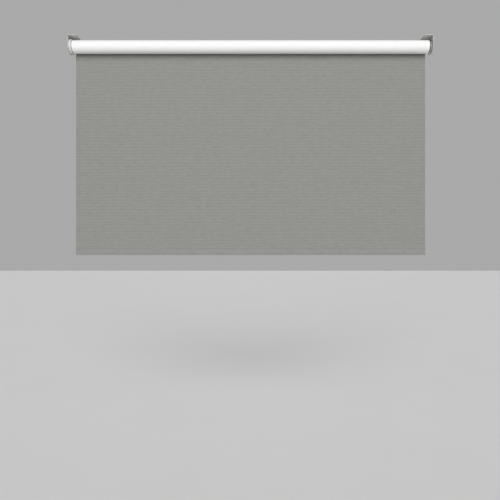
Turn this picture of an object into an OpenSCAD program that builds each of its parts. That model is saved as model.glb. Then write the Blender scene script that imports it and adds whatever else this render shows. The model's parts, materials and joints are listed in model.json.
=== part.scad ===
// Motorised roller blind for a window recess, hung from two ceiling brackets.
// The origin is the centre of the four ceiling screw holes, on the faces that meet the ceiling.
// +X runs along the roller, +Y points to the window and +Z points up.

/* [Fabric] */
// Width of the fabric
fabric_w = 1164; // [900:1:1400]
// Thickness of the coated fabric
fabric_t = 0.55; // [0.4:0.05:0.8]
// Drop from the roller axis to the bottom of the hem
drop = 684; // [300:1:1000]
// Outer radius of the wound fabric
roll_r = 20.85; // [19:0.05:23]

/* [Brackets] */
// Height of the ceiling above the roller axis
axis_drop = 29; // [28:1:40]
// Thickness of the bracket steel
bracket_t = 2; // [1.5:0.5:3]
// Gap between the end of the fabric and the face of the bracket
end_gap = 9; // [9:1:14]
// Radius of the round lower end of a bracket
bracket_r = 24.75; // [24.25:0.25:26]
// Width of a bracket between its round lower end and the ceiling
neck_w = 46.5; // [44:0.5:48]
// Length of the ceiling flange
flange_l = 32; // [30:1:40]
// Radius of each screw hole
screw_hole_r = 2.25; // [2:0.25:2.75]

/* [Roller] */
// Outer radius of the roller tube
tube_r = 16; // [16:0.5:17]
// Wall of the roller tube
tube_wall = 1.5; // [1.2:0.1:1.5]

/* [Motor] */
// Outer radius of the motor housing
housing_r = 12.5; // [12.4:0.1:12.6]
// Length of the motor housing
housing_l = 400; // [395:1:440]
// Radius of the motor head
head_r = 24; // [23:0.5:24.5]
// Travel of the set button
button_travel = 0.5; // [0.3:0.1:0.5]

/* [Hem] */
// Height of the hem bar
bar_h = 21; // [16:1:30]
// Thickness of the hem bar
bar_t = 3; // [2:0.5:5]

/* [Hidden] */

$fn = 96;
eps = 0.01; // how far a cutter runs past a face

// Clearances
slip = 0.1; // between parts that sit inside each other
run = 0.06; // radial, between parts that turn in each other
gap = 0.3; // between parts that pass each other

// Stations along X
fabric_x = fabric_w / 2;
plate_x = fabric_x + end_gap; // inner face of each bracket plate
outer_x = plate_x + bracket_t;
tube_x = fabric_x - 1; // end of the roller tube
head_x = -plate_x + gap; // outer face of the motor head
head_back = -fabric_x - 1; // face of the motor head that looks at the roller
rim_x = (head_x + head_back) / 2; // middle of the head's rim

// Bracket sockets
socket_r = 15.8;
socket_t = 2.5;
socket_face = plate_x - socket_t;
rivet_r = 1.5;
rivet_head_r = 2.6;
rivet_head_t = 0.8;
rivet_at = 11.5;
stud_w = 10;
recess_face = -socket_face + rivet_head_t + gap; // bottom of the recess in the motor head

// Flare of the bracket at the ceiling, and its holes
flare = 4.25;
top_w = neck_w + 2 * flare;
hole_x = outer_x - flange_l / 2;
hole_y = 12;
side_hole_y = 13;
side_hole_z = -8.5;
knockout_r = 5.5;

// Motor, from the head inwards
bore_r = housing_r - 0.8;
core_r = bore_r - slip;
neck_l = 10;
cradle_x = head_back + neck_l + 0.5;
cradle_l = 276;
cap_x = cradle_x + cradle_l + 0.5;
cap_l = 6;
can_x = cap_x + cap_l;
can_l = 58;
gear_x = can_x + can_l;
plug_l = 10;
housing_end = head_back + housing_l;
plug_x = housing_end - plug_l;
drive_x = housing_end + 2;
drive_l = 16;

// Battery and board
cell_r = 9.2;
cell_l = 65.2;
cell_pitch = 65.8;
cell_x = cradle_x + 76;
board_x = cradle_x + 4;
board_l = 66;
board_w = 16;
board_bay = 70;
board_t = 1.6;
ledge_z = -axis_drop - 1; // the board lies just above this
board_top = ledge_z + slip + board_t - 0.1; // components sink slightly into the board
lead_r = 0.6;
lead_at = 10.6; // radius of the motor leads from the axis

// Planetary gears, two stages that share one ring
tooth = 0.45; // module of the teeth
pressure = 25; // pressure angle
sun_teeth = 12;
planet_teeth = 15;
ring_teeth = 42;
orbit = (sun_teeth + planet_teeth) * tooth / 2;
pin_r = 1.2;
flank_play = 0.04;
gear_w = 8;
web = 2.5; // thickness of a carrier plate
first_x = gear_x + 4;
first_plate_x = first_x + gear_w + 0.5;
second_x = first_plate_x + web + 0.5;
second_plate_x = second_x + gear_w + 0.5;
carrier_r = 8.5;
shaft_r = 4;
shaft_flat = 6; // across the flats of the drive end
rotor_r = 1.5;

// Idle end
idle_l = 36;
idle_bore = 8;
idle_wall = 3;
idle_pin_r = 4;
idle_face = tube_x - idle_wall; // inner side of the plug's end wall
shoulder_l = 3.7;
shoulder_x = idle_face - gap - shoulder_l;
spring_wire = 0.6; // radius of the spring wire
spring_r = 6.2;
spring_turns = 7;

// Fabric and hem
panel_y = roll_r - fabric_t / 2; // middle plane of the hanging fabric
hem_z = -axis_drop - drop;
pocket_h = bar_h + 2 * fabric_t;
pocket_top = hem_z + pocket_h;
weld_h = 6;
hem_cap_l = 3;
tape_w = 12;
tape_t = 0.2;
roll_bore = tube_r + tape_t;

steel = "silver";
white_plastic = "whitesmoke";
dark_plastic = "dimgray";
brass = "goldenrod";
grey_cloth = "#949490";
white_cloth = "#f4f4f2";

// ---------------------------------------------------------------- helpers

// Children stand on the roller axis at x, with their z along +X and their x pointing down.
module on_axis(x) {
  translate([x, 0, -axis_drop]) rotate([0, 90, 0]) children();
}

module rod(x, length, r) {
  on_axis(x) cylinder(r = r, h = length);
}

module ring(x, length, r_out, r_in) {
  on_axis(x) difference() {
    cylinder(r = r_out, h = length);
    translate([0, 0, -1]) cylinder(r = r_in, h = length + 2);
  }
}

// Children point outward from the axis at an angle from straight down, towards the window.
module around(x, angle) {
  translate([x, 0, -axis_drop]) rotate([angle, 0, 0]) rotate([180, 0, 0]) children();
}

module in_three() {
  for (turn = [0, 120, 240]) rotate([0, 0, turn]) children();
}

// Outline of a flat strip with round edges.
module strip_outline(height, thickness) {
  straight = height - thickness;
  square([straight, thickness], center = true);
  for (end = [-1, 1]) translate([end * straight / 2, 0]) circle(d = thickness);
}

// Involute teeth
function involute(angle) = tan(angle) * 180 / PI - angle;
function base_r(teeth) = teeth * tooth / 2 * cos(pressure);
function flank_angle(teeth, r) = acos(min(1, base_r(teeth) / r));
function half_width(teeth, r, play) =
  90 / teeth + involute(pressure) - involute(flank_angle(teeth, r)) - play / r * 180 / PI;
function at(r, angle) = [r * cos(angle), r * sin(angle)];

module toothed_outline(teeth, root, tip, play) {
  steps = 6;
  start = max(root, base_r(teeth));
  radii = [for (i = [0:steps]) start + (tip - start) * i / steps];
  rising = [for (r = radii) [r, -half_width(teeth, r, play)]];
  falling = [for (i = [steps:-1:0]) [radii[i], half_width(teeth, radii[i], play)]];
  foot = half_width(teeth, start, play);
  profile = concat([[root, -foot]], rising, falling, [[root, foot]]);
  polygon([for (n = [0:teeth - 1]) for (p = profile) at(p[0], p[1] + n * 360 / teeth)]);
}

module toothed_wheel(teeth, width) {
  pitch = teeth * tooth / 2;
  linear_extrude(width) toothed_outline(teeth, pitch - 1.25 * tooth, pitch + tooth, flank_play);
}

// ---------------------------------------------------------------- brackets

// A round lower end, a slightly narrower neck and a flare at the ceiling.
module plate_outline() {
  circle(r = bracket_r);
  translate([-axis_drop, -neck_w / 2]) square([axis_drop, neck_w]);
  difference() {
    translate([-axis_drop, -top_w / 2]) square([flare, top_w]);
    for (side = [-1, 1]) translate([flare - axis_drop, side * top_w / 2]) circle(r = flare);
  }
}

module flange_outline() {
  corner = 6;
  translate([0, -top_w / 2]) square([flange_l - corner, top_w]);
  translate([0, corner - top_w / 2]) square([flange_l, top_w - 2 * corner]);
  for (side = [-1, 1])
    translate([flange_l - corner, side * (top_w / 2 - corner)]) circle(r = corner);
}

// Left bracket: a plate and a ceiling flange folded from one strip of steel.
module bracket() {
  bend = 3;
  color(steel) difference() {
    union() {
      on_axis(-outer_x) linear_extrude(bracket_t) plate_outline();
      translate([-outer_x, 0, -bracket_t]) linear_extrude(bracket_t) flange_outline();
      translate([-plate_x - eps, -top_w / 2, -bracket_t - 1]) cube([1 + eps, top_w, 1 + eps]);
    }
    translate([-outer_x, 0, 0]) rotate([90, 0, 0]) difference() {
      translate([-eps, -bend, -top_w]) cube([bend + eps, bend + eps, 2 * top_w]);
      translate([bend, -bend, -top_w - 1]) cylinder(r = bend, h = 2 * top_w + 2);
    }
    translate([-plate_x + 1, top_w, -bracket_t - 1]) rotate([90, 0, 0]) cylinder(r = 1, h = 2 * top_w);
    for (side = [-1, 1]) {
      translate([-hole_x, side * hole_y, -5]) cylinder(r = screw_hole_r, h = 10);
      translate([-outer_x - 1, side * side_hole_y, side_hole_z])
        rotate([0, 90, 0]) cylinder(r = screw_hole_r, h = bracket_t + 2);
      on_axis(-outer_x - eps) translate([0, side * rivet_at, 0]) rivet_shank(slip);
    }
    rod(-outer_x - 1, bracket_t + 2, knockout_r);
  }
}

// A shank that is spread flush into the outer face of the bracket.
module rivet_shank(clear) {
  spread = 1;
  cylinder(r = rivet_r + clear, h = bracket_t + socket_t + 1);
  cylinder(r1 = rivet_head_r + clear, r2 = rivet_r + clear, h = spread);
}

module rivets() {
  color("gray") for (side = [-1, 1])
    on_axis(-outer_x) translate([0, side * rivet_at, 0]) {
      cylinder(r = rivet_r, h = bracket_t + socket_t + eps);
      cylinder(r1 = rivet_head_r, r2 = rivet_r, h = 1);
      translate([0, 0, bracket_t + socket_t]) cylinder(r = rivet_head_r, h = rivet_head_t);
    }
}

module socket_disc() {
  difference() {
    rod(-plate_x, socket_t, socket_r);
    for (side = [-1, 1])
      on_axis(-plate_x - 1) translate([0, side * rivet_at, 0]) cylinder(r = rivet_r + slip, h = 5);
  }
}

module left_bracket() bracket();

module right_bracket() mirror([1, 0, 0]) bracket();

module left_rivets() rivets();

module right_rivets() mirror([1, 0, 0]) rivets();

module left_socket() {
  color(dark_plastic) difference() {
    socket_disc();
    on_axis(-plate_x - 1) translate([0, 0, 3])
      cube([stud_w + 2 * slip, stud_w + 2 * slip, 6], center = true);
  }
}

module right_socket() {
  color(dark_plastic) difference() {
    mirror([1, 0, 0]) socket_disc();
    rod(plate_x - 5, 10, idle_pin_r + run);
  }
}

// ---------------------------------------------------------------- motor head

port_w = 9;
port_t = 3.2;
port_floor = 17.9;
bung_w = 10.6;
bung_t = 5;
bung_face = head_r - 0.1;
bung_seat = head_r - 1.3;
button_angle = 38;
light_angle = 58;
light_back = 20;
light_r = 1.15;
button_r = 2.3;
button_back = 20.7;
switch_floor = 17.6;
head_edge = 0.8; // rounding of the head's rim
stud_l = 3.2;
screw_r = 1;
screw_head_r = 2.1;
screw_head_t = 1.8;

// A flat oval bar that points outward from the axis.
module oval_bar(width, thickness, from, to) {
  translate([0, 0, from]) linear_extrude(to - from)
    rotate([0, 0, 90]) strip_outline(width, thickness);
}

// A disc with round edges.
module soft_disc(length, r, edge) {
  rotate_extrude() {
    square([r - edge, length]);
    translate([0, edge]) square([r, length - 2 * edge]);
    for (end = [edge, length - edge]) translate([r - edge, end]) circle(r = edge);
  }
}

module motor_head() {
  wire_bore = 4;
  color(white_plastic) difference() {
    union() {
      on_axis(head_x) soft_disc(head_back - head_x, head_r, head_edge);
      rod(head_back - eps, neck_l + eps, core_r);
    }
    rod(head_x - 1, recess_face - head_x + 1, socket_r + 0.4);
    rod(recess_face + 1, 40, wire_bore);
    around(rim_x, 0) {
      oval_bar(port_w + slip, port_t + slip, port_floor - slip, head_r + 1);
      oval_bar(bung_w + 2 * gap, bung_t + 2 * gap, bung_seat - slip, head_r + 1);
    }
    around(rim_x, button_angle)
      translate([0, 0, switch_floor - slip]) cylinder(r = button_r + run, h = 10);
    around(rim_x, light_angle) translate([0, 0, light_back - slip]) cylinder(r = light_r + slip, h = 10);
    at_head_screws(recess_face - eps) {
      cylinder(r = screw_r + slip, h = 40);
      cylinder(r = screw_head_r + 2 * slip, h = screw_head_t + 2 * slip);
    }
  }
  color(white_plastic) on_axis(recess_face + 0.1 - stud_l / 2)
    cube([stud_w, stud_w, stud_l], center = true);
}

module at_head_screws(x) {
  screws_at = 7.5;
  for (side = [-1, 1]) on_axis(x) translate(at(screws_at, side * 60)) children();
}

// Screws that hold the battery cradle to the head.
module head_screws() {
  color("gray") at_head_screws(recess_face + 0.1) {
    cylinder(r = screw_head_r, h = screw_head_t);
    cylinder(r = screw_r, h = cradle_x - recess_face + 5);
  }
}

module charge_port() {
  color(steel) around(rim_x, 0) difference() {
    oval_bar(port_w - slip, port_t - slip, port_floor, bung_seat - 2 * slip);
    oval_bar(port_w - 0.8, port_t - 0.8, port_floor + 0.6, bung_seat);
  }
  color("black") around(rim_x, 0)
    translate([0, 0, port_floor + 1.3]) cube([0.7, 6.4, 1.5], center = true);
}

module port_bung() {
  color("lightgray") around(rim_x, 0) {
    oval_bar(bung_w, bung_t, bung_seat, bung_face);
    oval_bar(port_w - 1.4, port_t - 1.4, bung_seat - 2, bung_seat + eps);
  }
}

module set_button() {
  color("gray") around(rim_x, button_angle)
    translate([0, 0, button_back]) cylinder(r = button_r, h = head_r + 0.2 - button_back);
}

module set_switch() {
  color("black") around(rim_x, button_angle) translate([0, 0, switch_floor]) {
    cylinder(r = button_r - slip, h = 2);
    cylinder(r = 1, h = button_back - switch_floor - button_travel - 0.05);
  }
}

module status_light() {
  color("palegreen") around(rim_x, light_angle)
    translate([0, 0, light_back]) cylinder(r = light_r, h = head_r - light_back);
}

// ---------------------------------------------------------------- motor housing and power

plug_screw_head_r = 1.5;
plug_screw_r = 0.9;

module motor_housing() {
  color("gainsboro") difference() {
    ring(head_back, housing_l, housing_r, bore_r);
    on_axis(plug_x + plug_l / 2) in_three()
      rotate([0, 90, 0]) cylinder(r = plug_screw_head_r + slip, h = housing_r + 2);
  }
}

module housing_screws() {
  color("gray") on_axis(plug_x + plug_l / 2) in_three() rotate([0, 90, 0]) {
    translate([0, 0, bore_r]) cylinder(r = plug_screw_head_r, h = 0.7);
    translate([0, 0, 8]) cylinder(r = plug_screw_r, h = 4);
  }
}

// A trough that carries the board and the cells, open at the top.
module battery_cradle() {
  wall = 2;
  under_board_r = 7.2;
  bay_w = board_w + 2 * gap;
  color("dimgray") difference() {
    rod(cradle_x, cradle_l, core_r);
    rod(cradle_x + wall, board_bay, under_board_r);
    translate([cradle_x + wall, -bay_w / 2, ledge_z]) cube([board_bay, bay_w, 20]);
    rod(cell_x - 1, cradle_x + cradle_l - wall - cell_x + 1, cell_r + 0.2);
    translate([cradle_x - 1, -20, -axis_drop + 4]) cube([cradle_l + 2, 40, 20]);
    at_head_screws(cradle_x - 1) cylinder(r = screw_r + slip, h = 20);
  }
}

module battery_cells() {
  nub_l = 1.5;
  can_end = cell_l - nub_l;
  color("seagreen") for (n = [0:2]) {
    rod(cell_x + n * cell_pitch, can_end, cell_r);
    rod(cell_x + n * cell_pitch + can_end - eps, nub_l, 3);
  }
}

// Nickel strips that join the cells end to end.
module battery_tabs() {
  color(steel) for (n = [0:3])
    rod(cell_x + n * cell_pitch - 0.45, 0.3, 4);
}

// A component that stands across the middle of the board.
module chip(x, length, width, height) {
  translate([board_x + x, -width / 2, board_top]) cube([length, width, height]);
}

module control_board() {
  color("darkgreen") translate([board_x, -board_w / 2, ledge_z + slip]) cube([board_l, board_w, board_t]);
  color("black") chip(8, 9, 8, 1.3);
  color("black") chip(26, 6, 6, 1.5);
  color("gray") chip(54, 6, 8, 3);
  color("gray") translate([board_x + 44, 0, board_top]) cylinder(r = 3, h = 4.5);
}

// Two wires from the board to the motor, above the cells.
module motor_leads() {
  for (side = [-1, 1])
    color(side < 0 ? "red" : "black") on_axis(cell_x - 2)
      rotate([0, 0, 180 + side * 12]) translate([lead_at, 0, 0])
        cylinder(r = lead_r, h = cap_x - cell_x + 3);
}

// ---------------------------------------------------------------- motor

commutator_r = 3;
brush_bay_r = 8;

module brush_cap() {
  color("black") difference() {
    rod(cap_x, cap_l - slip, core_r);
    rod(cap_x + 2.5, cap_l, brush_bay_r);
    rod(cap_x - 1, 5, commutator_r + slip);
    for (side = [-1, 1])
      on_axis(cap_x - 1) rotate([0, 0, 180 + side * 12]) translate([lead_at, 0, 0])
        cylinder(r = lead_r + slip, h = 2.5);
  }
}

module carbon_brushes() {
  inner = commutator_r + 0.15;
  outer = brush_bay_r - 0.05;
  color("#303030") for (side = [-1, 1])
    on_axis(cap_x + 4.9) translate([0, side * (inner + outer) / 2, 0])
      cube([2, outer - inner, 1.8], center = true);
}

module motor_can() {
  wall = 1.2;
  front = 2;
  color(steel) difference() {
    rod(can_x, can_l, core_r);
    rod(can_x - 1, can_l - front + 1, core_r - wall);
    rod(gear_x - front - 1, front + 2, 3.5 + slip);
  }
}

module field_magnets() {
  color("#404448") difference() {
    ring(can_x + 9, 34, core_r - 1.2 - slip, 8.4);
    on_axis(can_x + 8) translate([0, 0, 20]) cube([30, 8, 40], center = true);
  }
}

module motor_bushes() {
  color(brass) {
    ring(cap_x + 0.2, 2, commutator_r, rotor_r + run);
    ring(gear_x - 2, 1.9, 3.5, rotor_r + run);
  }
}

// Armature, commutator, shaft and the first sun gear.
module motor_rotor() {
  color("sienna") difference() {
    rod(can_x + 7, 38, 7.9);
    on_axis(can_x + 6) for (n = [0:4])
      rotate([0, 0, n * 72]) translate([7, 0, 20]) cube([5, 1.6, 50], center = true);
  }
  color(brass) rod(cap_x + 3, can_x + 7 - cap_x - 3 + eps, commutator_r);
  color(steel) rod(cap_x + 0.3, first_x + gear_w - cap_x - 0.3, rotor_r);
  color(steel) on_axis(first_x) toothed_wheel(sun_teeth, gear_w);
}

// ---------------------------------------------------------------- gearbox

module gearbox_case() {
  ring_pitch = ring_teeth * tooth / 2;
  case_l = plug_x - gear_x - slip;
  color("beige") difference() {
    rod(gear_x, case_l, core_r);
    on_axis(gear_x + 1) linear_extrude(case_l)
      toothed_outline(ring_teeth, ring_pitch - tooth, ring_pitch + 1.25 * tooth, -flank_play);
    rod(gear_x - 1, 5, 5);
  }
}

module carrier_pins(plate_at) {
  in_three() translate([orbit, 0, plate_at - gear_w - 0.3])
    cylinder(r = pin_r, h = gear_w + 0.3 + eps);
}

// Carrier of the first stage, with the sun gear of the second stage on it.
module first_carrier() {
  color(brass) on_axis(first_plate_x) {
    cylinder(r = carrier_r, h = web);
    carrier_pins(0);
    translate([0, 0, web - eps]) toothed_wheel(sun_teeth, gear_w);
  }
}

// The planet sits at a third of a turn for each number, with a tooth pointing outward.
module planet(x, number) {
  color("ivory") on_axis(x) rotate([0, 0, number * 120]) translate([orbit, 0, 0]) difference() {
    toothed_wheel(planet_teeth, gear_w);
    translate([0, 0, -1]) cylinder(r = pin_r + run, h = gear_w + 2);
  }
}

// Carrier of the second stage in one piece with the shaft that turns the roller.
module output_shaft() {
  clip_x = drive_x + drive_l + 0.2;
  shaft_end = clip_x + 4;
  color(steel) difference() {
    union() {
      on_axis(second_plate_x) {
        cylinder(r = carrier_r, h = web);
        carrier_pins(0);
      }
      rod(second_plate_x, housing_end - second_plate_x, shaft_r);
      intersection() {
        rod(housing_end - eps, shaft_end - housing_end, shaft_r);
        on_axis(housing_end) translate([0, 0, 20]) cube([20, shaft_flat, 60], center = true);
      }
    }
    ring(clip_x, 1.2, shaft_r + 2, 2.6);
  }
}

module output_bush() {
  color(brass) ring(plug_x, plug_l, 6, shaft_r + run);
}

module housing_end_plug() {
  color("dimgray") difference() {
    ring(plug_x, plug_l, core_r, 6 + slip);
    on_axis(plug_x + plug_l / 2) in_three()
      rotate([0, 90, 0]) translate([0, 0, 7.5]) cylinder(r = plug_screw_r + slip, h = 8);
  }
}

// ---------------------------------------------------------------- roller

key_w = 2;
key_h = 1.3;
tube_bore = tube_r - tube_wall;

// Two ribs run along the inside of the tube and key the wheels to it.
module roller_tube() {
  color("lightgray") {
    ring(-tube_x, 2 * tube_x, tube_r, tube_bore);
    for (side = [-1, 1])
      translate([-tube_x, side > 0 ? tube_bore - key_h : -tube_bore - 0.5, -axis_drop - key_w / 2])
        cube([2 * tube_x, key_h + 0.5, key_w]);
  }
}

module keyed_disc(x, length) {
  difference() {
    rod(x, length, tube_bore - slip / 2);
    for (side = [-1, 1])
      translate([x - 1, side * tube_bore - key_h - slip, -axis_drop - key_w / 2 - slip])
        cube([length + 2, 2 * key_h + 2 * slip, key_w + 2 * slip]);
  }
}

module drive_wheel() {
  hub = slip / 2;
  color(dark_plastic) difference() {
    keyed_disc(drive_x, drive_l);
    intersection() {
      rod(drive_x - 1, drive_l + 2, shaft_r + hub);
      on_axis(drive_x - 1) translate([0, 0, 20])
        cube([20, shaft_flat + 2 * hub, 50], center = true);
    }
    for (n = [0:3])
      on_axis(drive_x - 1) rotate([0, 0, 45 + n * 90]) translate([9.3, 0, 0])
        cylinder(r = 2.6, h = drive_l + 2);
  }
}

module drive_clip() {
  color("gray") difference() {
    ring(drive_x + drive_l + 0.3, 1, 6.5, 2.7);
    on_axis(drive_x + drive_l) translate([5, 0, 1]) cube([10, 4, 5], center = true);
  }
}

// Plain bearing of the tube on the motor housing.
module crown_ring() {
  crown_l = 16;
  color(dark_plastic) difference() {
    union() {
      keyed_disc(-fabric_x, crown_l + 1);
      rod(-fabric_x, 1, tube_r);
    }
    rod(-fabric_x - 1, crown_l + 5, housing_r + run);
  }
}

module fabric_tape() {
  color("tan") intersection() {
    ring(-tube_x, 2 * tube_x, roll_bore - 0.03, tube_r + 0.03);
    translate([-tube_x, -tape_w / 2, -axis_drop]) cube([2 * tube_x, tape_w, 30]);
  }
}

// The outer turn starts where the hanging fabric ends and steps in by its thickness over one turn.
module roll_outline() {
  for (half = [-1, 1])
    intersection() {
      translate([0, -half * fabric_t / 4]) circle(r = roll_r - (half / 4 + 0.5) * fabric_t);
      translate([half * roll_r, 0]) square(2 * roll_r, center = true);
    }
}

module fabric_roll() {
  color(white_cloth) on_axis(-fabric_x) difference() {
    linear_extrude(fabric_w) roll_outline();
    translate([0, 0, -1]) cylinder(r = roll_bore, h = fabric_w + 2);
  }
}

// ---------------------------------------------------------------- idle end

module idle_plug() {
  color(white_plastic) difference() {
    union() {
      keyed_disc(tube_x - idle_l, idle_l + 1);
      rod(tube_x, 1, tube_r);
    }
    rod(tube_x - idle_l - 1, idle_l - idle_wall + 1, idle_bore);
    rod(tube_x - idle_wall - 1, idle_wall + 3, idle_pin_r + run);
  }
}

// Closes the plug and seats the spring.
module idle_cap() {
  color("dimgray") rod(tube_x - idle_l, 3, idle_bore - slip / 2);
}

module idle_pin() {
  chamfer = 0.8;
  tip = plate_x - 0.2;
  color(steel) {
    rod(tube_x - 26, tip - chamfer - tube_x + 26, idle_pin_r);
    on_axis(tip - chamfer) cylinder(r1 = idle_pin_r, r2 = idle_pin_r - chamfer, h = chamfer);
    rod(shoulder_x, shoulder_l, idle_bore - gap);
  }
}

spring_from = tube_x - idle_l + 3 + spring_wire + 0.2;
spring_to = shoulder_x - spring_wire - 0.2;
ring_steps = 20;
wire_sides = 8;

function spring_point(i, side) =
  let (
    turn = i * 360 / ring_steps,
    r = spring_r + spring_wire * cos(side * 360 / wire_sides),
    along = spring_from + (spring_to - spring_from) * i / (ring_steps * spring_turns)
  )
  [along + spring_wire * sin(side * 360 / wire_sides), r * cos(turn), r * sin(turn) - axis_drop];

module idle_spring() {
  last = ring_steps * spring_turns;
  points = [for (i = [0:last]) for (side = [0:wire_sides - 1]) spring_point(i, side)];
  sides = [for (i = [0:last - 1]) for (side = [0:wire_sides - 1])
    let (next = (side + 1) % wire_sides, here = i * wire_sides, there = here + wire_sides)
    [here + side, here + next, there + next, there + side]];
  start = [for (side = [wire_sides - 1:-1:0]) side];
  end = [for (side = [0:wire_sides - 1]) last * wire_sides + side];
  color("gray") polyhedron(points, concat([start], sides, [end]));
}

// ---------------------------------------------------------------- fabric and hem

module fabric_panel() {
  color(grey_cloth) translate([-fabric_x, panel_y - fabric_t / 2, pocket_top + weld_h])
    cube([fabric_w, fabric_t, -axis_drop - pocket_top - weld_h]);
}

module hem_outline(grow) {
  strip_outline(bar_h + 2 * grow, bar_t + 2 * grow);
}

module along_hem(x, length) {
  translate([x, panel_y, hem_z + pocket_h / 2]) rotate([0, 90, 0])
    linear_extrude(length) children();
}

module hem_bar() {
  color(steel) along_hem(hem_cap_l - fabric_x, fabric_w - 2 * hem_cap_l) hem_outline(-slip / 2);
}

// The fabric folds round the bar and is welded to itself above it.
module hem_pocket() {
  color(grey_cloth) along_hem(-fabric_x, fabric_w) difference() {
    union() {
      hem_outline(fabric_t);
      translate([-pocket_h / 2 - weld_h, -fabric_t]) square([weld_h + fabric_t, 2 * fabric_t]);
    }
    hem_outline(0);
  }
}

module hem_cap() {
  color("lightgray") along_hem(-fabric_x, hem_cap_l - slip) hem_outline(-slip / 2);
}

module hem_cap_left() hem_cap();

module hem_cap_right() mirror([1, 0, 0]) hem_cap();

// ---------------------------------------------------------------- parts

left_bracket();
right_bracket();
left_socket();
right_socket();
left_rivets();
right_rivets();
motor_head();
head_screws();
charge_port();
port_bung();
set_button();
set_switch();
status_light();
motor_housing();
battery_cradle();
battery_cells();
battery_tabs();
control_board();
motor_leads();
brush_cap();
carbon_brushes();
motor_can();
field_magnets();
motor_bushes();
motor_rotor();
gearbox_case();
first_carrier();
planet(first_x, 0);  // first_planet_1
planet(first_x, 1);  // first_planet_2
planet(first_x, 2);  // first_planet_3
planet(second_x, 0);  // second_planet_1
planet(second_x, 1);  // second_planet_2
planet(second_x, 2);  // second_planet_3
output_shaft();
output_bush();
housing_end_plug();
housing_screws();
drive_wheel();
drive_clip();
crown_ring();
roller_tube();
fabric_tape();
fabric_roll();
fabric_panel();
idle_plug();
idle_cap();
idle_pin();
idle_spring();
hem_bar();
hem_pocket();
hem_cap_left();
hem_cap_right();
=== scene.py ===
"""Looks of the motorised roller blind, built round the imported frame.

The wound fabric, the hanging fabric with its hem, the idle pin's spring and every material are made
here. Sizes come from the frame, or from the few named values below, in metres.
"""

import json
import math

import bpy
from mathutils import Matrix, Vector, noise


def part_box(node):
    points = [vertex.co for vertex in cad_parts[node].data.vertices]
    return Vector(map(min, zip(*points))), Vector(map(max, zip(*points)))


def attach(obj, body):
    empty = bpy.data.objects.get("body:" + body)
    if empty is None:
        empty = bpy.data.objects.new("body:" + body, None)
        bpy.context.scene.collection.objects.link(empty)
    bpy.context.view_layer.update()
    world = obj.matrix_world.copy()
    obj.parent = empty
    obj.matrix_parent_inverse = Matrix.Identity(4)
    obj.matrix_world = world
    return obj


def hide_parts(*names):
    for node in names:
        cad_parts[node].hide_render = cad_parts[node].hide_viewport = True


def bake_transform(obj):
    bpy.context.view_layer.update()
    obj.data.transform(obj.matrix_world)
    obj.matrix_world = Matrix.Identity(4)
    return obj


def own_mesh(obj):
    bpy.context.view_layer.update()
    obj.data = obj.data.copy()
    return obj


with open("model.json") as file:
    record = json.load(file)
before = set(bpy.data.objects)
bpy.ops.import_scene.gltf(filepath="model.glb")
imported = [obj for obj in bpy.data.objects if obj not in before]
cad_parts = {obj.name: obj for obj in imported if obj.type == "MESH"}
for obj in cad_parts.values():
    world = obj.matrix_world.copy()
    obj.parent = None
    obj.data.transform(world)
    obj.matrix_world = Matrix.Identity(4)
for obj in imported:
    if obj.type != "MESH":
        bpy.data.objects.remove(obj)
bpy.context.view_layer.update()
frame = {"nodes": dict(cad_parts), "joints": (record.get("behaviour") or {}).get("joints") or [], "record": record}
nodes = frame["nodes"]
MM = 0.001

# ------------------------------------------------------------------ places in the frame

tube_low, tube_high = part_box("roller_tube")
axis_z = (tube_low.z + tube_high.z) / 2
panel_low, panel_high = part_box("fabric_panel")
fabric_x = panel_high.x
fabric_t = panel_high.y - panel_low.y
panel_y = (panel_low.y + panel_high.y) / 2
roll_r = panel_high.y  # the panel hangs from the window side of the roll
hem_low, hem_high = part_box("hem_pocket")

# ------------------------------------------------------------------ camera

CAMERA_BACK = 1.477  # from the roller axis
CAMERA_BELOW = 0.662  # the roller axis
LENS = 32.33  # millimetres, as is the sensor
SENSOR = 36
SHIFT = (-0.0012, -0.0032)  # of the picture, in picture widths


def make_camera():
    """Level and square on, looking towards the window from below the roll."""
    data = bpy.data.cameras.new("camera")
    camera = bpy.data.objects.new("camera", data)
    bpy.context.scene.collection.objects.link(camera)
    camera.location = (0, -CAMERA_BACK, axis_z - CAMERA_BELOW)
    camera.rotation_euler = (math.radians(90), 0, 0)
    data.lens = LENS
    data.sensor_width = SENSOR
    data.shift_x, data.shift_y = SHIFT
    bpy.context.scene.camera = camera


make_camera()

# ------------------------------------------------------------------ materials


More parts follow.
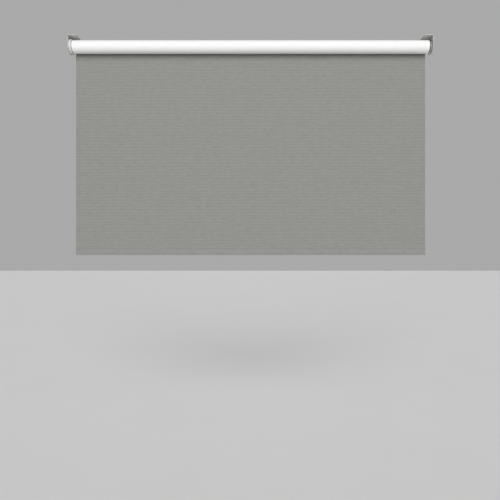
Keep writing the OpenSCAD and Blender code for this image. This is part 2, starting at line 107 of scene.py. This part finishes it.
class Finish:
    """A procedural material: one Principled shader with helpers that add nodes to it."""

    def __init__(self, name, roughness=0.5, metallic=0.0, specular=0.5):
        self.material = bpy.data.materials.new(name)
        self.material.use_nodes = True
        self.tree = self.material.node_tree
        self.shader = self.tree.nodes["Principled BSDF"]
        self.shader.inputs["Roughness"].default_value = roughness
        self.shader.inputs["Metallic"].default_value = metallic
        self.shader.inputs["Specular IOR Level"].default_value = specular
        self.object_place = self.add("ShaderNodeTexCoord").outputs["Object"]

    def add(self, kind, **values):
        node = self.tree.nodes.new(kind)
        for key, value in values.items():
            setattr(node, key, value)
        return node

    def join(self, source, target):
        self.tree.links.new(source, target)

    def place(self, scale):
        """Object coordinates, multiplied by scale."""
        mapping = self.add("ShaderNodeMapping")
        mapping.inputs["Scale"].default_value = scale
        self.join(self.object_place, mapping.inputs["Vector"])
        return mapping.outputs["Vector"]

    def noise(self, scale, detail=3.0, stretch=(1, 1, 1), roughness=0.55):
        """Noise from 0 to 1, with scale features to the metre, drawn out where stretch is small."""
        node = self.add("ShaderNodeTexNoise")
        node.inputs["Scale"].default_value = scale
        node.inputs["Detail"].default_value = detail
        node.inputs["Roughness"].default_value = roughness
        self.join(self.place(stretch), node.inputs["Vector"])
        return node.outputs["Fac"]

    def math(self, operation, a, b=None):
        """A sum of one or two values, each a number or a socket."""
        node = self.add("ShaderNodeMath", operation=operation)
        for value, socket in zip((a, b), node.inputs):
            if value is None:
                continue
            if isinstance(value, (int, float)):
                socket.default_value = value
            else:
                self.join(value, socket)
        return node.outputs["Value"]

    def remap(self, value, low, high, new_low, new_high):
        """value moved from the range low to high to the new range, and held inside it."""
        node = self.add("ShaderNodeMapRange")
        self.join(value, node.inputs["Value"])
        for name, number in (
            ("From Min", low),
            ("From Max", high),
            ("To Min", new_low),
            ("To Max", new_high),
        ):
            node.inputs[name].default_value = number
        return node.outputs["Result"]

    def blend(self, share, low, high):
        """A colour between low and high by share; each is a colour or a socket."""
        node = self.add("ShaderNodeMix", data_type="RGBA", clamp_factor=True)
        self.join(share, node.inputs["Factor"])
        colour_a, colour_b = node.inputs[6], node.inputs[7]  # their names are shared by other sockets
        for value, socket in zip((low, high), (colour_a, colour_b)):
            if isinstance(value, tuple):
                socket.default_value = (*value, 1)
            else:
                self.join(value, socket)
        return node.outputs[2]  # the colour result

    def colour(self, source):
        self.join(source, self.shader.inputs["Base Color"])

    def rough(self, share, low, high):
        """Roughness from low to high by a noise, whose values are mostly between 0.3 and 0.7."""
        self.join(self.remap(share, 0.3, 0.7, low, high), self.shader.inputs["Roughness"])

    def bump(self, height, depth):
        """Raises the surface by depth metres where height is 1, on top of any earlier bump."""
        node = self.add("ShaderNodeBump")
        node.inputs["Distance"].default_value = depth
        node.inputs["Strength"].default_value = 1.0
        self.join(height, node.inputs["Height"])
        normal = self.shader.inputs["Normal"]
        if normal.is_linked:
            self.join(normal.links[0].from_socket, node.inputs["Normal"])
        self.join(node.outputs["Normal"], normal)


def shade(colour, factor):
    return tuple(min(1.0, c * factor) for c in colour)


def moulded(name, colour, roughness=0.45, grain=0.04 * MM, specular=0.4):
    """Moulded plastic or rubber: a fine spark-eroded grain and slight flow marks."""
    finish = Finish(name, roughness, specular=specular)
    cloudy = finish.noise(60, 4)
    finish.colour(finish.blend(cloudy, shade(colour, 0.93), shade(colour, 1.05)))
    finish.rough(finish.noise(220, 3), roughness - 0.07, roughness + 0.09)
    finish.bump(finish.noise(2200, 2), grain)
    return finish.material


def coated(name, colour, roughness=0.38):
    """Powder coat on steel: orange peel and a few dull rubbed places."""
    finish = Finish(name, roughness, specular=0.5)
    finish.colour(finish.blend(finish.noise(45, 5), shade(colour, 0.94), shade(colour, 1.04)))
    finish.rough(finish.noise(120, 4), roughness - 0.06, roughness + 0.12)
    finish.bump(finish.noise(1100, 2), 0.06 * MM)
    return finish.material


def worked(name, colour, roughness=0.32, along=(1, 1, 1), depth=0.01 * MM):
    """Drawn, turned or rolled metal: fine lines, which run where along is small."""
    finish = Finish(name, roughness, metallic=1.0)
    lines = finish.noise(900, 4, along, 0.7)
    finish.colour(finish.blend(lines, shade(colour, 0.82), shade(colour, 1.08)))
    finish.rough(finish.noise(300, 3, along), roughness - 0.08, roughness + 0.14)
    finish.bump(lines, depth)
    return finish.material


DRAWN = (0.02, 1, 1)  # lines along the roller
TURNED = (1, 0.02, 0.02)  # lines round it

BLOCK = 3.45 * MM  # side of a block of the basket weave
THREADS = 4  # in a block
ROW_BLOCKS = 3  # blocks from one faint row to the next
WEAVE_DEPTH = 0.12 * MM


def waves(finish, pitch):
    """Sines along X and Z that change sign every pitch."""
    split = finish.add("ShaderNodeSeparateXYZ")
    step = math.pi / pitch
    finish.join(finish.place((step, step, step)), split.inputs["Vector"])
    return [finish.math("SINE", split.outputs[axis]) for axis in ("X", "Z")]


def weave(finish):
    """A basket weave: blocks of threads that float across, then down.

    Returns the height, and the block: 1 where the threads run across and 0 where they run down.
    """
    across, down = waves(finish, BLOCK)
    block = finish.remap(finish.math("MULTIPLY", across, down), -0.12, 0.12, 0, 1)
    ribs = [finish.math("ABSOLUTE", wave) for wave in waves(finish, BLOCK / THREADS)]
    floats = [finish.math("ABSOLUTE", wave) for wave in (across, down)]
    over = [finish.math("POWER", value, 0.5) for value in floats]
    weft = finish.math("MULTIPLY", ribs[1], over[0])
    warp = finish.math("MULTIPLY", ribs[0], over[1])
    weft = finish.math("MULTIPLY", weft, block)
    warp = finish.math("MULTIPLY", warp, finish.math("SUBTRACT", 1.0, block))
    return finish.math("ADD", weft, warp), block


def uneven_yarn(finish):
    """Streaks along the threads from 0 to 1: fine slubs both ways, and longer ones across."""
    weft = finish.noise(420, 3, (0.035, 1, 1))
    warp = finish.noise(420, 3, (1, 1, 0.035))
    slubs = finish.remap(finish.math("ADD", weft, warp), 0.7, 1.3, 0, 1)
    return slubs, finish.noise(190, 2, (0.25, 1, 1))


def grey_face(name, colour):
    """The woven face: a matt basket weave of uneven yarn with faint rows, painted light and shade on the blocks by
    the way their threads run, and painted shade in the grooves between threads.
    """
    finish = Finish(name, 0.92, specular=0.12)
    finish.shader.inputs["Sheen Weight"].default_value = 0.1
    finish.shader.inputs["Sheen Roughness"].default_value = 0.5
    height, block = weave(finish)
    slubs, picks = uneven_yarn(finish)
    rows = waves(finish, BLOCK * ROW_BLOCKS / 2)[1]
    # Painted light and shade: blocks whose threads run across are paler than blocks whose threads run down, as if
    # lit from above. The yarn streaks added to it are the yarn's own uneven tone, and the faint rows are paler and
    # darker in turn.
    yarn_tone_and_painted_light = finish.math("ADD", finish.math("MULTIPLY", block, 0.22), 0.135)
    for share, amount in ((slubs, 0.09), (picks, 0.42), (rows, 0.05)):
        yarn_tone_and_painted_light = finish.math("ADD", yarn_tone_and_painted_light, finish.math("MULTIPLY", share, amount))
    threads_with_painted_light = finish.blend(yarn_tone_and_painted_light, shade(colour, 0.6), shade(colour, 1.4))
    # Painted shade: the grooves between the raised threads are darkened to 0.72 of the colour.
    painted_groove_shade_mask = finish.remap(height, 0.0, 0.5, 0.0, 1.0)
    finish.colour(finish.blend(painted_groove_shade_mask, shade(colour, 0.72), threads_with_painted_light))
    finish.rough(finish.noise(60, 3), 0.88, 0.96)
    finish.bump(height, WEAVE_DEPTH)
    return finish.material


def white_back(name, colour):
    """The white acrylic coating: smooth, with the weave just showing through."""
    finish = Finish(name, 0.6, specular=0.25)
    finish.colour(finish.blend(finish.noise(25, 5), shade(colour, 0.965), shade(colour, 1.02)))
    finish.rough(finish.noise(90, 3), 0.52, 0.68)
    finish.bump(weave(finish)[0], WEAVE_DEPTH / 6)
    finish.bump(finish.noise(1500, 2), 0.02 * MM)
    return finish.material


def laminated(name, colour):
    """A bare cut edge of coated cloth, whose grey core lies between pale skins: drawn all grey, finely mottled."""
    finish = Finish(name, 0.85, specular=0.15)
    finish.colour(finish.blend(finish.noise(900, 3), shade(colour, 0.8), shade(colour, 1.1)))
    finish.bump(finish.noise(1600, 2), 0.08 * MM)
    return finish.material


BOARD_T = 1.6 * MM
board_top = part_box("control_board")[0].z + BOARD_T


def circuit(name):
    """A green board with paler tracks and small bright pads, and black parts that stand on it."""
    finish = Finish(name, 0.35, specular=0.5)
    tracks = finish.add("ShaderNodeTexBrick", offset=0.5)
    tracks.inputs["Scale"].default_value = 260
    tracks.inputs["Mortar Size"].default_value = 0.03
    tracks.inputs["Color1"].default_value = (0.02, 0.13, 0.06, 1)
    tracks.inputs["Color2"].default_value = (0.03, 0.17, 0.08, 1)
    tracks.inputs["Mortar"].default_value = (0.06, 0.30, 0.15, 1)
    finish.join(finish.object_place, tracks.inputs["Vector"])
    dots = finish.add("ShaderNodeTexVoronoi")
    dots.inputs["Scale"].default_value = 340
    finish.join(finish.object_place, dots.inputs["Vector"])
    pads = finish.remap(dots.outputs["Distance"], 0.16, 0.2, 1, 0)
    bare = finish.blend(pads, tracks.outputs["Color"], (0.62, 0.6, 0.52))
    height = finish.add("ShaderNodeSeparateXYZ")
    finish.join(finish.object_place, height.inputs["Vector"])
    above = finish.math("GREATER_THAN", height.outputs["Z"], board_top + 0.1 * MM)
    part = finish.blend(finish.noise(500, 3), (0.02, 0.02, 0.02), (0.045, 0.045, 0.05))
    finish.colour(finish.blend(above, bare, part))
    finish.bump(pads, 0.05 * MM)
    return finish.material


def sleeved(name, colour):
    """Heat-shrunk sleeve: glossy, faintly wrinkled along the cell."""
    finish = Finish(name, 0.28, specular=0.5)
    finish.colour(finish.blend(finish.noise(80, 3), shade(colour, 0.85), shade(colour, 1.12)))
    finish.rough(finish.noise(300, 2), 0.22, 0.36)
    finish.bump(finish.noise(260, 3, (0.15, 1, 1)), 0.06 * MM)
    return finish.material


WHITE_CLOTH = (0.88, 0.88, 0.875)
GREY_CLOTH = (0.284, 0.287, 0.268)
HEM_CLOTH = (0.294, 0.294, 0.287)  # a little paler and more neutral than the panel's cloth

FINISHES = {
    "bracket_steel": lambda n: coated(n, (0.46, 0.46, 0.455)),
    "socket_plastic": lambda n: moulded(n, (0.52, 0.52, 0.51)),
    "rivet_steel": lambda n: worked(n, (0.66, 0.66, 0.67)),
    "head_plastic": lambda n: moulded(n, (0.66, 0.66, 0.65), 0.42),
    "screw_steel": lambda n: worked(n, (0.55, 0.55, 0.57)),
    "port_steel": lambda n: worked(n, (0.70, 0.70, 0.72), 0.25),
    "bung_rubber": lambda n: moulded(n, (0.50, 0.50, 0.49), 0.7, 0.05 * MM, 0.2),
    "button_plastic": lambda n: moulded(n, (0.28, 0.29, 0.30), 0.4),
    "black_plastic": lambda n: moulded(n, (0.03, 0.03, 0.03), 0.5),
    "light_lens": lambda n: moulded(n, (0.62, 0.82, 0.64), 0.15, 0.005 * MM, 0.6),
    "housing_aluminium": lambda n: worked(n, (0.72, 0.73, 0.74), 0.35, DRAWN),
    "cradle_plastic": lambda n: moulded(n, (0.035, 0.035, 0.04), 0.55),
    "cell_sleeve": lambda n: sleeved(n, (0.02, 0.16, 0.10)),
    "nickel_strip": lambda n: worked(n, (0.66, 0.62, 0.55), 0.3),
    "circuit_board": circuit,
    "wire_insulation": lambda n: moulded(n, (0.45, 0.02, 0.02), 0.4),
    "brush_carbon": lambda n: moulded(n, (0.02, 0.02, 0.02), 0.6, 0.08 * MM),
    "can_steel": lambda n: worked(n, (0.62, 0.62, 0.64), 0.35, TURNED),
    "magnet_ferrite": lambda n: worked(n, (0.10, 0.10, 0.11), 0.55, DRAWN),
    "bush_bronze": lambda n: worked(n, (0.58, 0.36, 0.15), 0.4, TURNED),
    "rotor_steel": lambda n: worked(n, (0.46, 0.36, 0.30), 0.4, TURNED, 0.06 * MM),
    "gear_plastic": lambda n: moulded(n, (0.74, 0.70, 0.58), 0.4),
    "carrier_metal": lambda n: worked(n, (0.58, 0.58, 0.60), 0.33, TURNED),
    "wheel_plastic": lambda n: moulded(n, (0.05, 0.05, 0.055), 0.5),
    "tube_aluminium": lambda n: worked(n, (0.74, 0.75, 0.76), 0.34, DRAWN),
    "tape_film": lambda n: moulded(n, (0.62, 0.55, 0.38), 0.6),
    "cloth_coated_back": lambda n: white_back(n, WHITE_CLOTH),
    "cloth_grey_face": lambda n: grey_face(n, GREY_CLOTH),
    "pin_steel": lambda n: worked(n, (0.78, 0.78, 0.79), 0.5, TURNED),
    "spring_steel": lambda n: worked(n, (0.40, 0.40, 0.42), 0.35),
    "hem_aluminium": lambda n: worked(n, (0.72, 0.72, 0.74), 0.38, DRAWN),
    "cap_plastic": lambda n: moulded(n, (0.45, 0.45, 0.44), 0.5),
}
slots = {slot: make(slot) for slot, make in FINISHES.items()}

for part in frame["record"]["subparts"]:
    mesh = nodes[part["node"]].data
    mesh.materials.clear()
    mesh.materials.append(slots[part["material_slot"]])

cut_edge = laminated("cloth_cut_edge", (0.55, 0.55, 0.54))
hem_face = grey_face("cloth_hem_face", HEM_CLOTH)

# ------------------------------------------------------------------ mesh helpers


def new_piece(name, vertices, faces, materials, indices=None, smooth=True):
    mesh = bpy.data.meshes.new(name)
    mesh.from_pydata(vertices, [], faces)
    for material in materials:
        mesh.materials.append(material)
    if indices:
        mesh.polygons.foreach_set("material_index", indices)
    mesh.polygons.foreach_set("use_smooth", [smooth] * len(faces))
    mesh.update()
    piece = bpy.data.objects.new(name, mesh)
    bpy.context.scene.collection.objects.link(piece)
    return piece


def sweep_strip(name, path, columns, thickness, x_at, materials, hem_from=None):
    """A sheet of cloth swept along X.

    path is its middle line as (y, z, normal y, normal z), and the normal points to the first
    material's side. x_at(u, i) is the place of column u, from -1 to 1, at path point i. The
    materials are the face, the back, the cut edge and the face past path point hem_from.
    """
    vertices, faces, indices = [], [], []
    rows, half = len(path), thickness / 2
    for side in (half, -half):
        for i, (y, z, ny, nz) in enumerate(path):
            for c in range(columns + 1):
                u = 2 * c / columns - 1
                vertices.append((x_at(u, i), y + ny * side, z + nz * side))

    def at(side, i, c):
        return (side * rows + i) * (columns + 1) + c

    def quad(a, b, c, d, material):
        faces.append((a, b, c, d))
        indices.append(material)

    last, end = columns, rows - 1
    for i in range(end):
        face = 0 if hem_from is None or i < hem_from else 3
        for c in range(columns):
            quad(at(0, i, c), at(0, i + 1, c), at(0, i + 1, c + 1), at(0, i, c + 1), face)
            quad(at(1, i, c), at(1, i, c + 1), at(1, i + 1, c + 1), at(1, i + 1, c), 1)
        quad(at(0, i, 0), at(1, i, 0), at(1, i + 1, 0), at(0, i + 1, 0), 2)
        quad(at(0, i, last), at(0, i + 1, last), at(1, i + 1, last), at(1, i, last), 2)
    for c in range(columns):
        quad(at(0, 0, c), at(0, 0, c + 1), at(1, 0, c + 1), at(1, 0, c), 2)
        quad(at(0, end, c), at(1, end, c), at(1, end, c + 1), at(0, end, c + 1), 2)
    piece = new_piece(name, vertices, faces, materials, indices)
    crisp_edges(piece, 2)
    return piece


def crisp_edges(piece, index):
    """The cut edges, which have material index, are flat and meet the faces at a sharp corner."""
    cut = set()
    for polygon in piece.data.polygons:
        if polygon.material_index == index:
            polygon.use_smooth = False
            cut.update(polygon.edge_keys)
    for edge in piece.data.edges:
        edge.use_edge_sharp = edge.key in cut


# ------------------------------------------------------------------ wound fabric

STEPS_PER_TURN = 60
LAYER_GAP = 0.06 * MM
TELESCOPE = 0.35 * MM  # how far one turn stands past the next at the ends
STRAIGHT_TURNS = 0.7  # of the outer turn, which meets the panel, before the ends stray in full


def wound_fabric():
    """The cloth on the tube: one spiral from the panel to the tape, with its coated side out."""
    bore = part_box("fabric_tape")[1].z - axis_z
    turns = (roll_r - bore) / fabric_t - 1  # the last turn's inner side comes to rest on the tape
    steps = int(turns * STEPS_PER_TURN)
    path = []
    for i in range(steps + 1):
        turned = i / steps * turns
        angle = 2 * math.pi * turned
        r = roll_r - fabric_t / 2 - turned * fabric_t
        out_y, out_z = math.cos(angle), math.sin(angle)
        path.append((r * out_y, axis_z + r * out_z, out_y, out_z))

    def x_at(u, i):
        turned = i / STEPS_PER_TURN
        side = 4 if u > 0 else -4  # so that the two ends stray differently
        stray = TELESCOPE * noise.noise(Vector((turned * 0.8, side, 2)))
        stray *= min(1.0, turned / STRAIGHT_TURNS)
        return u * fabric_x + stray * abs(u) ** 8  # the power keeps it to the two ends

    materials = [slots["cloth_coated_back"], slots["cloth_grey_face"], cut_edge]
    piece = sweep_strip("wound_fabric", path, 16, fabric_t - LAYER_GAP, x_at, materials)
    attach(piece, "roller")
    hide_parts("fabric_roll")


wound_fabric()

# ------------------------------------------------------------------ hanging fabric and hem

WELD = 6 * MM  # height of the weld over the pocket
LEAD = 4 * MM  # height over which the panel steps forward to the weld
PRESSED = 0.97  # of the cloth's thickness, so that two layers clear each other in the weld
bar_t = hem_high.y - hem_low.y - 2 * fabric_t
weld_top = hem_high.z
pocket_top = weld_top - WELD


def arc(centre_y, centre_z, r, start, end, steps):
    """Points round a centre, with outward normals. Angles are from straight up, towards the window."""
    found = []
    for i in range(steps + 1):
        a = math.radians(start + (end - start) * i / steps)
        y, z = math.sin(a), math.cos(a)
        found.append((centre_y + r * y, centre_z + r * z, y, z))
    return found


def hanging_fabric():
    """The cloth from the roll down, round the hem bar and up to the weld behind.

    The straight drop has no rows between its two ends, so it stays flat at every height.
    """
    r = (bar_t + fabric_t) / 2
    top_z = pocket_top - fabric_t / 2 - r
    bottom_z = hem_low.z + fabric_t / 2 + r
    pinch = math.degrees(math.asin(fabric_t / 2 / r))
    front = panel_y - fabric_t / 2
    path = [(panel_y, axis_z, -1, 0), (panel_y, weld_top + LEAD, -1, 0), (front, weld_top, -1, 0)]
    weld_starts = len(path) - 1
    path += [(front, weld_top - WELD * n / 3, -1, 0) for n in (1, 2)]
    path += arc(panel_y, top_z, r, -pinch, -90, 6)
    path += [(panel_y - r, top_z + (bottom_z - top_z) * n / 4, -1, 0) for n in (1, 2, 3)]
    path += arc(panel_y, bottom_z, r, -90, -270, 12)
    path += [(panel_y + r, bottom_z + (top_z - bottom_z) * n / 4, 1, 0) for n in (1, 2, 3)]
    path += arc(panel_y, top_z, r, 90, pinch, 6)
    path += [(panel_y + fabric_t / 2, weld_top - WELD * n / 3, 1, 0) for n in (2, 1, 0)]
    length = sum(math.dist(a[:2], b[:2]) for a, b in zip(path, path[1:]))

    def x_at(u, i):
        return u * fabric_x

    materials = [slots["cloth_grey_face"], slots["cloth_coated_back"], cut_edge, hem_face]
    piece = sweep_strip("hanging_fabric", path, 60, fabric_t * PRESSED, x_at, materials, weld_starts)
    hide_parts("fabric_panel", "hem_pocket")
    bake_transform(piece)


hanging_fabric()

# ------------------------------------------------------------------ spring of the idle pin

SPRING_TURNS = 7
WIRE_R = 0.6 * MM
STEPS_ROUND = 48  # in a turn of the coil
SIDES = 16


def idle_spring_wire():
    """A round wire coil, which on the real pin shortens as the pin is pressed in; this one keeps its length."""
    low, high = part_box("idle_spring")
    coil_r = (high.z - low.z) / 2 - WIRE_R
    first, last = low.x + WIRE_R, high.x - WIRE_R
    steps = SPRING_TURNS * STEPS_ROUND
    vertices, faces = [], []
    for i in range(steps + 1):
        turn = 2 * math.pi * i / STEPS_ROUND
        middle = first + (last - first) * i / steps
        for side in range(SIDES):
            a = 2 * math.pi * side / SIDES
            r = coil_r + WIRE_R * math.cos(a)
            x = middle + WIRE_R * math.sin(a)
            vertices.append((x, r * math.cos(turn), axis_z + r * math.sin(turn)))
    for i in range(steps):
        for side in range(SIDES):
            here, after = i * SIDES + side, i * SIDES + (side + 1) % SIDES
            faces.append((here, after, after + SIDES, here + SIDES))
    faces.append(tuple(range(SIDES))[::-1])
    faces.append(tuple(range(steps * SIDES, (steps + 1) * SIDES)))
    piece = new_piece("idle_spring_wire", vertices, faces, [slots["spring_steel"]])
    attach(piece, "roller")
    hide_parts("idle_spring")
    press = next(j for j in frame["joints"] if j["name"] == "idle_pin_press")
    travel = max(abs(end) for end in press["range_m"])
    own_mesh(piece)


idle_spring_wire()

# ------------------------------------------------------------------ stage and light

FLOOR_Z = -1.46
FLOOR_HALF = 14


def make_floor():
    signs = [(-1, -1), (1, -1), (1, 1), (-1, 1)]
    corners = [(x * FLOOR_HALF, y * FLOOR_HALF, FLOOR_Z) for x, y in signs]
    finish = Finish("floor", 0.85, specular=0.1)
    finish.colour(finish.blend(finish.noise(3, 3), (0.86, 0.86, 0.86), (0.89, 0.89, 0.885)))
    floor = new_piece("floor", corners, [(0, 1, 2, 3)], [finish.material], smooth=False)


def make_sun(name, elevation, spread, strength, turn=0):
    """Soft light from a patch of sky, spread degrees across and elevation degrees up.

    It shines from the camera's side, or from turn degrees round from there.
    """
    data = bpy.data.lights.new(name, "SUN")
    data.energy = strength
    data.angle = math.radians(spread)
    lamp = bpy.data.objects.new(name, data)
    lamp.rotation_euler = (math.radians(90 - elevation), 0, math.radians(turn))
    bpy.context.scene.collection.objects.link(lamp)


def make_world(strength):
    world = bpy.data.worlds.new("studio")
    world.use_nodes = True
    ground = world.node_tree.nodes["Background"]
    ground.inputs["Color"].default_value = (1.0, 1.0, 1.0, 1)
    ground.inputs["Strength"].default_value = strength
    bpy.context.scene.world = world


make_floor()
make_world(0.40)
make_sun("key", 13.5, 50, 2.27)
make_sun("daylight", 25, 40, 0.5, turn=180)
bpy.context.scene.view_settings.view_transform = "Standard"
